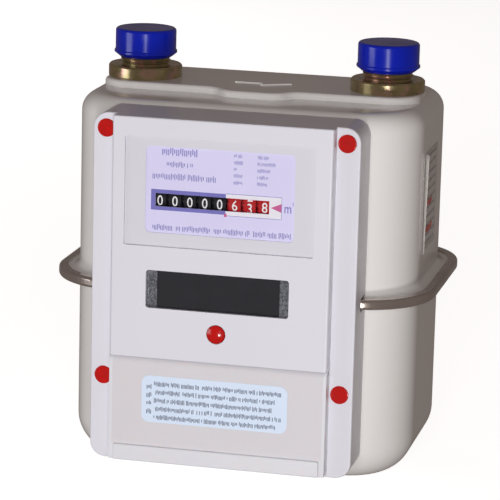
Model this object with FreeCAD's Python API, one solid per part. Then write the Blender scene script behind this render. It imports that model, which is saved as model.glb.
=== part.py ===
"""Card-operated diaphragm gas meter, G4 size, as separate sub-parts.

Frame: millimetres, +Z up, +X to the viewer's right, -Y towards the viewer.
The origin is the centre of the bottom face, and Y = 0 is the plane of the two pipe connections.
"""
import os
import math
import FreeCAD, Part
from FreeCAD import Vector, Rotation, Placement

# ---- driving dimensions -------------------------------------------------------------------------

# pressed steel case
body_half_x, body_half_y = 90.0, 62.5
body_corner = 34.7
sheet = 1.0
seam_z = 98.0
ledge_z, plateau_z = 192.4, 195.9
top_edge_r, bottom_edge_r = 10.0, 20.0
plateau_half_x, plateau_half_y, plateau_corner = 84.0, 24.0, 16.0
bulge_half_x, bulge_depth = 27.0, 9.0
arrow_y, arrow_height = -2.0, 0.6

# rolled seam
band_half_x, band_half_y, band_corner = 99.9, 72.4, 40.0
band_height, band_sheet, band_lip = 5.4, 1.3, 4.9
gasket_thick, flare_r = 0.8, 4.0

# pipe connections, G 3/4 parallel thread
pipe_x = 65.0
thread_r, gas_bore_r = 13.22, 10.0
collar_r, collar_top = 19.35, 202.2
spigot_top, spigot_tail = 218.5, 183.0
running_gap = 0.05

# blue thread caps
cap_bottom, cap_rim_z, cap_top = 206.3, 208.4, 221.2
cap_r, cap_rim_r, cap_bottom_r = 16.0, 16.55, 13.9

# front housing
housing_half_x, housing_corner = 68.35, 8.0
housing_bottom, housing_top = 10.7, 190.7
strip_y, panel_y = -85.3, -93.1
panel_half_x = 56.3
wall = 2.0
gasket_gap = 0.8
plug_x, plug_r = 61.5, 4.7
plug_rows = (54.5, 182.7)
display_x = -1.05

# windows in the front cover
dial_half_x, dial_bottom, dial_top = 38.1, 132.2, 176.3
window_half_x, window_bottom, window_top = 48.7, 125.3, 181.0
window_thick, recess_depth = 1.2, 1.4
lcd_half_x, lcd_bottom, lcd_top = 36.85, 93.5, 113.1
button_z, button_r = 82.4, 4.65
button_travel, button_dome = 1.2, 1.2

# flap over the battery and card compartment
flap_top, flap_bottom = 67.2, 12.8
flap_hinge_y, flap_hinge_z = -90.2, 64.3
flap_thick = 1.6
lug_inner_x, lug_outer_x, lug_r, lug_arm = 50.6, 53.6, 2.0, 2.8
lip_half_x, lip_bottom, lip_top, lip_y = 53.6, 12.8, 21.2, -94.6

# index
drum_count, drum_pitch, drum_r, drum_width = 8, 7.66, 10.0, 6.1
drum_y, drum_z = -80.0, 149.0
drum_left = -36.6
slot_left, slot_right = -34.2, 24.2
slot_half_z = 3.35
shaft_r, carry_shaft_r, carry_offset = 1.5, 1.0, 9.35
carry_y, carry_z = drum_y + carry_offset, drum_z + carry_offset
frame_left, frame_right, frame_wall = drum_left - 2.6, 43.0, 1.6
index_module = 0.5
drum_teeth, spur_teeth = 36, 12

# drive from the measuring unit to the index
crank_x = 30.0
drive_z = drum_z - index_module * (drum_teeth + spur_teeth) / 2
crank_teeth, crank_module = 12, 1.2
pinion_teeth, wheel_teeth, bevel_module = 9, 25, 0.7
crank_radius = 9.4

# measuring unit
unit_half_x, unit_half_y, unit_bottom, unit_top = 64.0, 20.0, 12.0, 117.0
chamber_r, chamber_z = 46.0, 64.5
partition = 1.5
cover_sheet, dome_depth = 1.5, 23.0
table_thick = 6.0
table_top = unit_top + table_thick
rod_x, rod_y, rod_r = -38.0, 9.0, 2.0
flag_reach, flag_offset = 34.0, 6.0
disc_r, disc_hub_r, membrane, membrane_steps = 26.0, 17.5, 1.2, 9
valve_reach = 34.0
layer_z, layer_pitch, link_thick = 152.0, 1.9, 1.5

# electronics behind the front cover
board_half_x, board_bottom, board_top, board_front, board_thick = 50.0, 73.0, 121.0, -84.8, 1.6
cell_length, cell_r, cell_y = 50.0, 7.1, -75.0
cell_rows = (23.0, 38.6)
pole_r, pole_height = 2.6, 0.8
tray_half_x, tray_wall = 53.6, 1.2
reader_half_x, reader_bottom, reader_top, reader_front, reader_back = 31.0, 49.0, 57.5, -88.5, -68.0
card_half_x, card_bottom, card_top = 27.2, 52.7, 54.2
foot_r = 2.0

# shut-off valve under the inlet
shutoff_r, shutoff_bottom, shutoff_top = 18.0, 156.0, 183.0
shutoff_travel = 8.0

case_front = -body_half_y - 2.2

X, Y, Z = Vector(1, 0, 0), Vector(0, 1, 0), Vector(0, 0, 1)
crank_centre = Vector(crank_x, 0, 0)
crank_pin = Vector(crank_x - crank_radius, 0, 0)
quarter = crank_radius * math.sqrt(0.5)
disc_low = drive_z + 10.0
drum_names = ["drum_" + str(number) for number in range(1, drum_count + 1)]


# ---- plain shapes -------------------------------------------------------------------------------

def block(x0, x1, y0, y1, z0, z1):
    return Part.makeBox(x1 - x0, y1 - y0, z1 - z0, Vector(x0, y0, z0))


def rod(radius, start, end):
    """Cylinder between two points."""
    start, end = Vector(*start), Vector(*end)
    return Part.makeCylinder(radius, (end - start).Length, start, end - start)


def round_edges(shape, radius, axis):
    """Fillet every straight edge that runs along the axis."""
    straight = [edge for edge in shape.Edges if edge.Curve.TypeId == "Part::GeomLine"]
    along = [edge for edge in straight if abs(edge.tangentAt(edge.FirstParameter).dot(axis)) > 0.99]
    return shape.makeFillet(radius, along)


def level_edges(shape, axis, place, inside=None):
    """Edges whose ends and middle lie at one place along the axis."""
    found = []
    for edge in shape.Edges:
        points = [edge.valueAt(edge.FirstParameter + (edge.LastParameter - edge.FirstParameter) * part)
                  for part in (0.0, 0.5, 1.0)]
        on_level = all(abs(point.dot(axis) - place) < 0.001 for point in points)
        if on_level and (inside is None or all(inside(point) for point in points)):
            found.append(edge)
    return found


def rounded_block(x0, x1, y0, y1, z0, z1, radius, axis):
    return round_edges(block(x0, x1, y0, y1, z0, z1), radius, axis)


def prism(half_x, half_y, corner, z0, z1):
    """Upright rounded rectangle centred on the Z axis."""
    return rounded_block(-half_x, half_x, -half_y, half_y, z0, z1, corner, Z)


def turned(profile, centre, axis=Z):
    """Solid of revolution from (radius, height) points about an axis through the centre."""
    points = [Vector(radius, 0, height) for radius, height in profile]
    face = Part.Face(Part.makePolygon(points + points[:1]))
    solid = face.revolve(Vector(0, 0, 0), Z, 360)
    solid.Placement = Placement(Vector(*centre), Rotation(Z, axis))
    return solid


def fuse(first, *others):
    return first.multiFuse(list(others)).removeSplitter()


def cut(first, *others):
    for other in others:
        first = first.cut(other)
    return first


def link_bar(start, end, z, eye_r, holes):
    """Flat bar with a round eye at each end and a hole in each eye."""
    start, end = Vector(start.x, start.y, z), Vector(end.x, end.y, z)
    along = (end - start).normalize()
    half_width = 1.4
    side = Vector(-along.y, along.x, 0) * half_width
    bar = Part.Face(Part.makePolygon([start + side, end + side, end - side, start - side, start + side]))
    bar = bar.extrude(Z * link_thick)
    eyes = [Part.makeCylinder(eye_r, link_thick, point) for point in (start, end)]
    cuts = [Part.makeCylinder(hole, 3 * link_thick, point - Z * link_thick)
            for hole, point in zip(holes, (start, end)) if hole]
    return cut(fuse(bar, *eyes), *cuts)


# ---- gears --------------------------------------------------------------------------------------

def spur_gear(teeth, module, width, phase=0.0):
    """Spur gear on the Z axis; each tooth is a trapezium with working backlash."""
    pitch_r = teeth * module / 2
    tip_r, root_r = pitch_r + 0.8 * module, pitch_r - 1.15 * module
    step = 360.0 / teeth
    outline = []
    for tooth in range(teeth):
        middle = tooth * step + phase
        for radius, share in ((root_r, -0.30), (tip_r, -0.13), (tip_r, 0.13), (root_r, 0.30)):
            angle = math.radians(middle + share * step)
            outline.append(Vector(radius * math.cos(angle), radius * math.sin(angle), 0))
    return Part.Face(Part.makePolygon(outline + outline[:1])).extrude(Z * width)


def bevel_gear(teeth, mate_teeth, module, face_width, hub, phase=0.0):
    """Straight bevel gear below its cone's apex, which is at the origin, with its axis along Z."""
    pitch_r, drop = teeth * module / 2, mate_teeth * module / 2
    slant = math.hypot(pitch_r, drop)
    shrink = (slant - face_width) / slant
    rise_r, rise_z = drop / slant, pitch_r / slant
    root_r, root_z = pitch_r - 1.15 * module * rise_r, -drop - 1.15 * module * rise_z
    body = turned([(0, root_z * shrink), (root_r * shrink, root_z * shrink), (root_r, root_z),
                   (root_r, root_z - hub), (0, root_z - hub)], (0, 0, 0))

    def section(scale):
        corners = []
        for height, share in ((-1.3, -0.30), (0.8, -0.12), (0.8, 0.12), (-1.3, 0.30)):
            half_tooth = share * math.pi * module
            radius = pitch_r + height * module * rise_r
            corners.append(Vector(radius, half_tooth, -drop + height * module * rise_z) * scale)
        return Part.makePolygon(corners + corners[:1])

    tooth = Part.makeLoft([section(1.0), section(shrink)], True, True)
    teeth_solids = []
    for number in range(teeth):
        copy = tooth.copy()
        copy.rotate(Vector(0, 0, 0), Z, number * 360.0 / teeth + phase)
        teeth_solids.append(copy)
    return body.multiFuse(teeth_solids)


def placed(shape, position, axis):
    """Turn a shape so that its +Z points along the axis, and move its origin to the position."""
    turns = {"x": Rotation(Y, 90), "-x": Rotation(Y, -90), "y": Rotation(X, -90), "-y": Rotation(X, 90)}
    moved = shape.copy()
    moved.Placement = Placement(Vector(*position), turns[axis])
    return moved


# ---- pressed case -------------------------------------------------------------------------------

def bow_arcs(run, flat, depth, front):
    """Two equal tangent arcs that carry the plateau's front edge out to its bow."""
    turn = 2 * math.atan2(depth, run - flat)
    radius = ((run - flat) ** 2 + depth ** 2) / (4 * depth)
    lift_x, lift_y = radius * math.sin(turn / 2), radius * (1 - math.cos(turn / 2))
    start, end = Vector(-run, front, 0), Vector(-flat, front - depth, 0)
    knee = (start + end) / 2
    first = Part.Arc(start, start + Vector(lift_x, -lift_y, 0), knee).toShape()
    second = Part.Arc(knee, end + Vector(-lift_x, lift_y, 0), end).toShape()
    return [first, second]


def plateau(grow):
    """Raised top platform, with a shallow bow forward between the pipes."""
    half_x, half_y, corner = plateau_half_x + grow, plateau_half_y + grow, plateau_corner + grow
    floor, top = ledge_z - top_edge_r, plateau_z + grow
    base = prism(half_x, half_y, corner, floor, top)
    run, flat, inner = bulge_half_x + grow, bulge_half_x * 0.3, -half_y / 2
    arcs = bow_arcs(run, flat, bulge_depth, -half_y)
    arcs += [edge.mirror(Vector(0, 0, 0), X) for edge in arcs]
    outline = ((-run, -half_y), (-run, inner), (run, inner), (run, -half_y))
    corners = [Vector(x, y, 0) for x, y in outline]
    lines = [Part.makeLine(first, second) for first, second in zip(corners, corners[1:])]
    crest = Part.makeLine(Vector(-flat, -half_y - bulge_depth, 0), Vector(flat, -half_y - bulge_depth, 0))
    bow = Part.Face(Part.Wire(Part.__sortEdges__(arcs + lines + [crest]))).extrude(Z * (top - floor))
    bow.translate(Z * floor)
    raised = fuse(base, bow)
    return raised.makeFillet(2.0 + grow * 0.5, level_edges(raised, Z, top))


def upper_body(grow, floor):
    """Upper half of the case as a solid, grown outwards by a distance."""
    body = prism(body_half_x + grow, body_half_y + grow, body_corner + grow, floor, ledge_z + grow)
    body = body.makeFillet(top_edge_r + grow, level_edges(body, Z, ledge_z + grow))
    return fuse(body, plateau(grow))


def lower_body(grow, ceiling):
    """Lower half of the case as a solid, grown outwards by a distance."""
    body = prism(body_half_x + grow, body_half_y + grow, body_corner + grow, -grow, ceiling)
    return body.makeFillet(bottom_edge_r + grow, level_edges(body, Z, -grow))


def flange_outline(inset, z0, z1):
    return prism(band_half_x - inset, band_half_y - inset, band_corner - inset, z0, z1)


def flared(body, flange, level, grow):
    """Join a body half to its flange with the pressed radius between them."""
    def on_wall(point):
        return abs(point.x) < body_half_x + grow + 0.1 and abs(point.y) < body_half_y + grow + 0.1

    joined = fuse(body, flange)
    return joined.makeFillet(flare_r - grow, level_edges(joined, Z, level, on_wall))


def upper_pressing(grow):
    floor = seam_z + gasket_thick / 2
    level = floor + sheet + grow
    return flared(upper_body(grow, floor), flange_outline(band_sheet - grow, floor, level), level, grow)


def lower_pressing(grow):
    ceiling = seam_z - gasket_thick / 2
    level = ceiling - sheet - grow
    return flared(lower_body(grow, ceiling), flange_outline(band_sheet - grow, level, ceiling), level, grow)


def upper_case():
    shell = upper_pressing(0).cut(upper_body(-sheet, seam_z - sheet))
    holes = [rod(thread_r, (x, 0, ledge_z - top_edge_r), (x, 0, plateau_z + 1)) for x in (-pipe_x, pipe_x)]
    gland_hole = rod(4.0, (crank_x, -body_half_y - 1, drive_z), (crank_x, -body_half_y + 5, drive_z))
    return cut(fuse(shell, flow_arrow()), gland_hole, *holes)


def flow_arrow():
    """Embossed arrow on the plateau that points from inlet to outlet."""
    tail, neck, tip, half_shaft, half_head = -15.0, 0.0, 14.5, 3.6, 9.0
    points = [(tail, -half_shaft), (neck, -half_shaft), (neck, -half_head), (tip, 0),
              (neck, half_head), (neck, half_shaft), (tail, half_shaft)]
    corners = [Vector(x, arrow_y + y, plateau_z - sheet / 2) for x, y in points]
    return Part.Face(Part.makePolygon(corners + corners[:1])).extrude(Z * (arrow_height + sheet / 2))


def lower_case():
    return lower_pressing(0).cut(lower_body(-sheet, seam_z + sheet))


def seam_band():
    """Rolled strip of C section that clamps the two flanges together."""
    low, high = seam_z - band_height / 2, seam_z + band_height / 2
    outer = flange_outline(0, low, high)
    rims = level_edges(outer, Z, low) + level_edges(outer, Z, high)
    outer = outer.makeFillet(1.6, rims)
    channel = flange_outline(band_sheet, low + band_sheet, high - band_sheet)
    return cut(outer, channel, flange_outline(band_lip, low - 1, high + 1))


def seam_gasket():
    ring = flange_outline(band_sheet, seam_z - gasket_thick / 2, seam_z + gasket_thick / 2)
    opening = prism(body_half_x, body_half_y, body_corner, seam_z - 1, seam_z + 1)
    return ring.cut(opening)


def case_envelope(grow):
    """Everything the front housing has to stand clear of."""
    band = flange_outline(-grow, seam_z - band_height / 2 - grow, seam_z + band_height / 2 + grow)
    return fuse(upper_pressing(grow), lower_pressing(grow), band)


# ---- pipe connections ---------------------------------------------------------------------------

def spigot(x):
    """Zinc plated connection with collar; the thread is a plain cylinder of its major diameter."""
    return turned([(gas_bore_r, spigot_tail), (thread_r, spigot_tail), (thread_r, plateau_z),
                   (collar_r, plateau_z), (collar_r, collar_top - 0.8), (collar_r - 0.8, collar_top),
                   (thread_r, collar_top), (thread_r, spigot_top - 1), (thread_r - 1, spigot_top),
                   (gas_bore_r, spigot_top)], (x, 0, 0))


def thread_cap(x):
    inner_r = thread_r + running_gap
    skirt = turned([(inner_r, cap_bottom), (cap_bottom_r, cap_bottom), (cap_rim_r, cap_rim_z),
                    (cap_rim_r, cap_rim_z + 1.0), (cap_r, cap_rim_z + 1.6), (cap_r, cap_top),
                    (0, cap_top), (0, spigot_top + 0.4), (inner_r, spigot_top + 0.4)], (x, 0, 0))
    return skirt.makeFillet(1.5, level_edges(skirt, Z, cap_top))


# ---- front housing ------------------------------------------------------------------------------

def cover_block(inset, front_strip, front_panel, back):
    """Outer or inner envelope of the front cover: side strips and raised panel."""
    strips = rounded_block(-housing_half_x + inset, housing_half_x - inset, front_strip, back,
                           housing_bottom + inset, housing_top - inset, housing_corner - inset * 0.8, Y)
    panel = block(-panel_half_x + inset, panel_half_x - inset, front_panel, front_strip + 1,
                  flap_top + 0.3 + inset, housing_top - inset)
    return strips, panel


def front_cover():
    back = -body_half_y + 6.0
    strips, panel = cover_block(0, strip_y, panel_y, back)
    strips = strips.makeFillet(0.8, level_edges(strips, Y, strip_y))
    panel = round_edges(panel, 1.2, Z)
    panel = panel.makeFillet(0.9, [edge for edge in level_edges(panel, Y, panel_y)
                                   if edge.BoundBox.ZMin > flap_top + 1])
    hollow_strips, hollow_panel = cover_block(wall, strip_y + wall, panel_y + wall, back + 1)
    compartment = block(-panel_half_x + wall, panel_half_x - wall, strip_y - 1, strip_y + wall + 1,
                        housing_bottom + wall, flap_top)
    bosses = [rod(4.6 + wall, (x, strip_y + 0.5, z), (x, -72, z)).common(strips)
              for x in (-plug_x, plug_x) for z in plug_rows]
    shell = cut(fuse(strips, panel), hollow_strips, hollow_panel, compartment)
    shell = fuse(shell, *(bosses + hinge_lugs()))
    return cut(shell, case_envelope(gasket_gap), *cover_openings())


def hinge_lugs():
    """Two small ears that carry the flap's pins, each on an arm that slopes back to the strip's wall."""
    drop = strip_y + wall / 2 - flap_hinge_y
    foot_z = flap_hinge_z - drop
    lugs = []
    for side in (-1, 1):
        x0, x1 = sorted((side * lug_inner_x, side * lug_outer_x))
        foot_x0, foot_x1 = sorted((side * lug_inner_x, side * (panel_half_x - 0.3)))
        ear = rod(lug_r, (x0, flap_hinge_y, flap_hinge_z), (x1, flap_hinge_y, flap_hinge_z))
        section = [(flap_hinge_y, flap_hinge_z + lug_arm / 2), (flap_hinge_y + drop, foot_z + lug_arm / 2),
                   (flap_hinge_y + drop, foot_z - lug_arm / 2), (flap_hinge_y, flap_hinge_z - lug_arm / 2)]
        corners = [Vector(x0, y, z) for y, z in section]
        arm = Part.Face(Part.makePolygon(corners + corners[:1])).extrude(X * (x1 - x0))
        foot = block(foot_x0, foot_x1, strip_y + 0.1, strip_y + wall, foot_z - lug_arm, foot_z + lug_arm)
        lugs.append(fuse(ear, arm, foot))
    return lugs


def cover_openings():
    """Dial, window recess, display, button, seal and screw holes, and the flap's pin holes."""
    front, behind = panel_y - 1, panel_y + wall + 1

    def opening(half_x, back, bottom, top, corner):
        return rounded_block(display_x - half_x, display_x + half_x, front, back, bottom, top, corner, Y)

    openings = [opening(dial_half_x, behind, dial_bottom, dial_top, 2.5),
                opening(window_half_x, panel_y + recess_depth, window_bottom, window_top, 1.0),
                opening(lcd_half_x, behind, lcd_bottom, lcd_top, 1.6),
                rod(button_r + 0.3, (display_x, front, button_z), (display_x, behind, button_z))]
    for x in (-plug_x, plug_x):
        for z in plug_rows:
            openings.append(rod(plug_r, (x, strip_y - 10, z), (x, strip_y + 5, z)))
            openings.append(rod(1.6, (x, strip_y, z), (x, -70, z)))
    for x in (-lug_outer_x, lug_inner_x - 0.6):
        openings.append(rod(1.05, (x, flap_hinge_y, flap_hinge_z), (x + 3.6, flap_hinge_y, flap_hinge_z)))
    return openings


def seal_plugs():
    """Red tamper seals pressed over the four cover screws."""
    plugs = []
    for x in (-plug_x, plug_x):
        for z in plug_rows:
            plug = rod(plug_r, (x, strip_y - 0.7, z), (x, strip_y + 1.8, z))
            plugs.append(plug.makeFillet(0.5, level_edges(plug, Y, strip_y - 0.7)))
    return Part.Compound(plugs)


def cover_screws():
    screws = []
    for x in (-plug_x, plug_x):
        for z in plug_rows:
            head = rod(3.0, (x, strip_y + 2.6, z), (x, strip_y + 5, z))
            recess = block(x - 0.4, x + 0.4, strip_y + 2.4, strip_y + 3.6, z - 2.2, z + 2.2)
            cross = block(x - 2.2, x + 2.2, strip_y + 2.4, strip_y + 3.6, z - 0.4, z + 0.4)
            shank = rod(1.5, (x, strip_y + 5, z), (x, -67, z))
            screws.append(cut(fuse(head, shank), recess, cross))
    return Part.Compound(screws)


def housing_gasket():
    """Dark foam strip between the cover's back edge and the painted case."""
    back = -body_half_y + 6.0
    ring = cover_block(0.2, strip_y + 10, panel_y, back)[0]
    inside = cover_block(wall + 0.4, strip_y + 9, panel_y, back + 1)[0]
    return cut(ring.cut(inside).common(case_envelope(gasket_gap)), case_envelope(0))


def housing_base():
    """Moulded back tray; a step forward lets it bridge the rolled seam."""
    near, far = -body_half_y - 0.2, -band_half_y - 1.0
    low, high = seam_z - band_height / 2 - 4, seam_z + band_height / 2 + 4
    bottom, top = housing_bottom + wall + 8.5, housing_top - wall - 9.0
    side = 64.0
    spine = [(near, bottom), (near, low), (far, low), (far, high), (near, high), (near, top),
             (near - wall, top), (near - wall, high + wall), (far - wall, high + wall),
             (far - wall, low - wall), (near - wall, low - wall), (near - wall, bottom)]
    corners = [Vector(-side, y, z) for y, z in spine]
    tray = Part.Face(Part.makePolygon(corners + corners[:1])).extrude(X * 2 * side)
    pillars = [rod(3.4, (x, -71.9, z), (x, near - wall / 2, z))
               for x in (-plug_x + 0.6, plug_x - 0.6) for z in plug_rows]
    pillars = [pillar.common(block(-side, side, -72, near, 0, 250)) for pillar in pillars]
    holes = [rod(1.5, (x, -73, z), (x, -67, z)) for x in (-plug_x, plug_x) for z in plug_rows]
    shaft_hole = rod(4.3, (crank_x, -70, drive_z), (crank_x, -60, drive_z))
    return cut(fuse(tray, *pillars), case_envelope(0.1), shaft_hole, *holes)


def index_window():
    window = rounded_block(display_x - window_half_x + 0.1, display_x + window_half_x - 0.1,
                           panel_y + 0.1, panel_y + 0.1 + window_thick,
                           window_bottom + 0.1, window_top - 0.1, 1.0, Y)
    return window.makeFillet(0.3, level_edges(window, Y, panel_y + 0.1))


def dial_plate():
    face, half_x = panel_y + wall, dial_half_x + 2
    plate = rounded_block(display_x - half_x, display_x + half_x, face, face + 0.8,
                          dial_bottom - 2, dial_top + 2, 2.5, Y)
    slot = block(slot_left, slot_right, face - 1, face + 2, drum_z - slot_half_z, drum_z + slot_half_z)
    return plate.cut(slot)


def flap():
    """Battery and card cover: a thin shell with a finger lip, rounded about its hinge line."""
    axis = (flap_hinge_y, flap_hinge_z)
    reach = flap_hinge_y - panel_y
    half_x = panel_half_x - 0.1
    back = strip_y - 0.2
    outer = fuse(block(-half_x, half_x, panel_y, back, flap_bottom, axis[1]),
                 rod(reach, (-half_x, *axis), (half_x, *axis)))
    inner_x = half_x - flap_thick
    hollow = fuse(block(-inner_x, inner_x, panel_y + flap_thick, back + 1, flap_bottom + flap_thick, axis[1]),
                  rod(reach - flap_thick, (-inner_x, *axis), (inner_x, *axis)))
    open_back = block(-inner_x, inner_x, flap_hinge_y + 0.3, back + 1, flap_bottom + flap_thick, flap_top + 1)
    lip = rounded_block(-lip_half_x, lip_half_x, lip_y, panel_y + 0.5, lip_bottom, lip_top, 1.0, Y)
    lip = lip.makeFillet(0.8, level_edges(lip, Y, lip_y))
    pins = [rod(1.0, (side * 50.9, *axis), (side * (half_x - 0.2), *axis)) for side in (-1, 1)]
    lug_room = [rod(2.3, (side * 50.4, *axis), (side * 53.9, *axis)) for side in (-1, 1)]
    return fuse(cut(fuse(outer, lip), hollow, open_back, *lug_room), *pins)


# ---- electronics --------------------------------------------------------------------------------

def lcd_window():
    inside = panel_y + wall
    return rounded_block(display_x - lcd_half_x - 1.5, display_x + lcd_half_x + 1.5, inside, inside + 1.0,
                         lcd_bottom - 1.5, lcd_top + 1.5, 1.6, Y)


def lcd_module():
    front = panel_y + wall + 1.2
    return block(display_x - lcd_half_x - 1, display_x + lcd_half_x + 1, front, front + 3.2,
                 lcd_bottom - 1.2, lcd_top + 1.2)


def circuit_board():
    """Board with processor, crystal, connector and the push switch under the button."""
    back = board_front + board_thick
    board = block(-board_half_x, board_half_x, board_front, back, board_bottom, board_top)
    root = board_front + 0.5
    switch = block(display_x - 3, display_x + 3, board_front - 1.2, root, button_z - 3, button_z + 3)
    processor = block(-34, -22, board_front - 1.2, root, 76, 88)
    crystal = block(24, 30, board_front - 1.6, root, 78, 81)
    connector = block(34, 46, board_front - 2.6, root, 75, 81)
    standoffs = [rod(foot_r, (x, back, z), (x, case_front, z))
                 for x in (4 - board_half_x, board_half_x - 4) for z in (board_bottom + 5, board_top - 5)]
    return fuse(board, switch, processor, crystal, connector, *standoffs)


def display_button():
    """Domed push button on a stem, with a flange that stops it inside the cover."""
    crown = 0.2 - panel_y + button_dome
    flange = -(panel_y + wall + 0.1)
    stem_end = button_travel + 0.15 + 86.0
    dome_r = (button_r ** 2 + button_dome ** 2) / (2 * button_dome)
    halfway = button_r / 2
    sag = dome_r - math.sqrt(dome_r ** 2 - halfway ** 2)
    dome = Part.Arc(Vector(0, 0, crown), Vector(halfway, 0, crown - sag),
                    Vector(button_r, 0, crown - button_dome)).toShape()
    outline = [(button_r, crown - button_dome), (button_r, flange),
               (button_r + 1.2, flange), (button_r + 1.2, flange - 0.8),
               (1.2, flange - 0.8), (1.2, stem_end), (0, stem_end), (0, crown)]
    edges = Part.makePolygon([Vector(radius, 0, height) for radius, height in outline]).Edges
    button = Part.Face(Part.Wire([dome] + edges)).revolve(Vector(0, 0, 0), Z, 360)
    button.Placement = Placement(Vector(display_x, 0, button_z), Rotation(Z, Vector(0, -1, 0)))
    return button


def button_spring():
    """Return spring round the button's stem, as a plain sleeve of the spring's size."""
    start, end = panel_y + wall + 0.9, -86.05
    sleeve = rod(2.6, (display_x, start, button_z), (display_x, end, button_z))
    return sleeve.cut(rod(1.7, (display_x, start - 1, button_z), (display_x, end + 1, button_z)))


def battery_cells():
    cells = []
    for z in cell_rows:
        for side in (-1, 1):
            inner, outer = side * 1.0, side * (1.0 + cell_length)
            can = rod(cell_r, (inner, cell_y, z), (outer, cell_y, z))
            pole = rod(pole_r, (outer, cell_y, z), (outer + side * pole_height, cell_y, z))
            cells.append(fuse(can, pole))
    return Part.Compound(cells)


def battery_tray():
    """Open moulded tray with a rib between the two columns of cells."""
    front, back = cell_y - 2, cell_y + cell_r + 2.0
    bottom, top = cell_rows[0] - cell_r - 1.4, cell_rows[1] + cell_r + 1.4
    tray = block(-tray_half_x, tray_half_x, front, back, bottom, top)
    pocket = block(-tray_half_x + tray_wall, tray_half_x - tray_wall, front - 1, back - tray_wall,
                   bottom + tray_wall, top - tray_wall)
    rib = block(-0.8, 0.8, front, back, bottom, top)
    middle = (bottom + top) / 2
    feet = [rod(foot_r, (x, back - 0.5, middle), (x, case_front, middle)) for x in (-40, 0, 40)]
    return fuse(tray.cut(pocket), rib, *feet)


def battery_contacts():
    """Nickel plated end plates, one beside each end of each row."""
    plates, half = [], 5.0
    for z in cell_rows:
        for side in (-1, 1):
            x0, x1 = sorted((side * (tray_half_x - 1.7), side * (tray_half_x - 1.3)))
            plates.append(block(x0, x1, cell_y - half, cell_y + half, z - half, z + half))
    return Part.Compound(plates)


def card_reader():
    """Smart card socket with its slot facing the flap."""
    body = block(-reader_half_x, reader_half_x, reader_front, reader_back, reader_bottom, reader_top)
    slot = block(-card_half_x, card_half_x, reader_front - 1.5, reader_back - 4, card_bottom, card_top)
    funnel = block(-card_half_x - 1.3, card_half_x + 1.3, reader_front - 0.5, reader_front + 1.2,
                   card_bottom - 0.7, card_top + 0.7)
    middle = (reader_bottom + reader_top) / 2
    feet = [rod(foot_r, (x, reader_back - 0.5, middle), (x, case_front, middle)) for x in (-24, 24)]
    return fuse(cut(body, slot, funnel), *feet)


# ---- index --------------------------------------------------------------------------------------

def drum_start(number):
    return drum_left + (number - 1) * drum_pitch


def index_drum(number):
    """Figure drum: rim with web, and a toothed ring in the gap beside its neighbour."""
    start = drum_start(number)
    gap = drum_pitch - drum_width
    last = number == drum_count
    rim = rod(drum_r, (start + gap, drum_y, drum_z), (start + drum_pitch, drum_y, drum_z))
    hollow = rod(drum_r - 1.6, (start + gap + 1.6, drum_y, drum_z), (start + drum_pitch + 1, drum_y, drum_z))
    hub = rod(3.2, (start + gap, drum_y, drum_z), (start + drum_pitch, drum_y, drum_z))
    ring_width = gap - 0.4
    ring = placed(spur_gear(20, 0.8, ring_width + 0.1), (start + 0.4, drum_y, drum_z), "x")
    drum = fuse(rim.cut(hollow), hub, ring)
    if last:
        gear = spur_gear(drum_teeth, index_module, 2.4, phase=180.0 / drum_teeth)
        drum = fuse(drum, placed(gear, (start + drum_pitch - 0.5, drum_y, drum_z), "x"))
    bore = rod(shaft_r + running_gap, (start - 1, drum_y, drum_z), (start + drum_pitch + 3, drum_y, drum_z))
    return drum.cut(bore)


def carry_pinions():
    """Pinions that pass each tenth turn on to the next drum, on their own steel shaft."""
    pinions = []
    for number in range(2, drum_count + 1):
        pinion = spur_gear(8, 0.8, 1.0)
        pinions.append(placed(pinion, (drum_start(number) + 0.4, carry_y, carry_z), "x"))
    shaft = rod(carry_shaft_r, (frame_left, carry_y, carry_z), (frame_right + 1, carry_y, carry_z))
    return fuse(shaft, *pinions)


def drum_shaft():
    return rod(shaft_r, (frame_left - 0.8, drum_y, drum_z), (frame_right + 2.2, drum_y, drum_z))


def index_frame():
    """Moulded frame: back plate and two end cheeks that hold the shafts."""
    back, front = -65.0, -86.5
    low, high = drive_z - 6, drum_z + 14
    start, end = frame_left - 1, frame_right + frame_wall + 1
    plate = block(frame_left, frame_right + frame_wall, back - frame_wall, back, low, high)
    cheeks = [block(x, x + frame_wall, front, back, low, high) for x in (frame_left, frame_right)]
    bearings = [rod(shaft_r, (start, drum_y, drum_z), (end, drum_y, drum_z)),
                rod(shaft_r + running_gap, (frame_right - 1, drum_y, drive_z), (end, drum_y, drive_z)),
                rod(carry_shaft_r, (start, carry_y, carry_z), (end, carry_y, carry_z)),
                rod(3.2, (crank_x, back - 5, drive_z), (crank_x, back + 5, drive_z))]
    return cut(fuse(plate, *cheeks), *bearings)


def input_gear():
    """Cross shaft: a bevel wheel from the drive shaft and a spur pinion to the last drum."""
    wheel = bevel_gear(wheel_teeth, pinion_teeth, bevel_module, 2.2, 1.5, phase=90 + 180.0 / wheel_teeth)
    wheel = placed(wheel, (crank_x, drum_y, drive_z), "-x")
    gear_start = drum_start(drum_count) + drum_pitch + 0.3
    pinion = placed(spur_gear(spur_teeth, index_module, 1.4), (gear_start, drum_y, drive_z), "x")
    shaft = rod(shaft_r, (gear_start - 1, drum_y, drive_z), (frame_right + 1.6, drum_y, drive_z))
    return fuse(wheel, pinion, shaft)


# ---- drive from the measuring unit --------------------------------------------------------------

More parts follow.
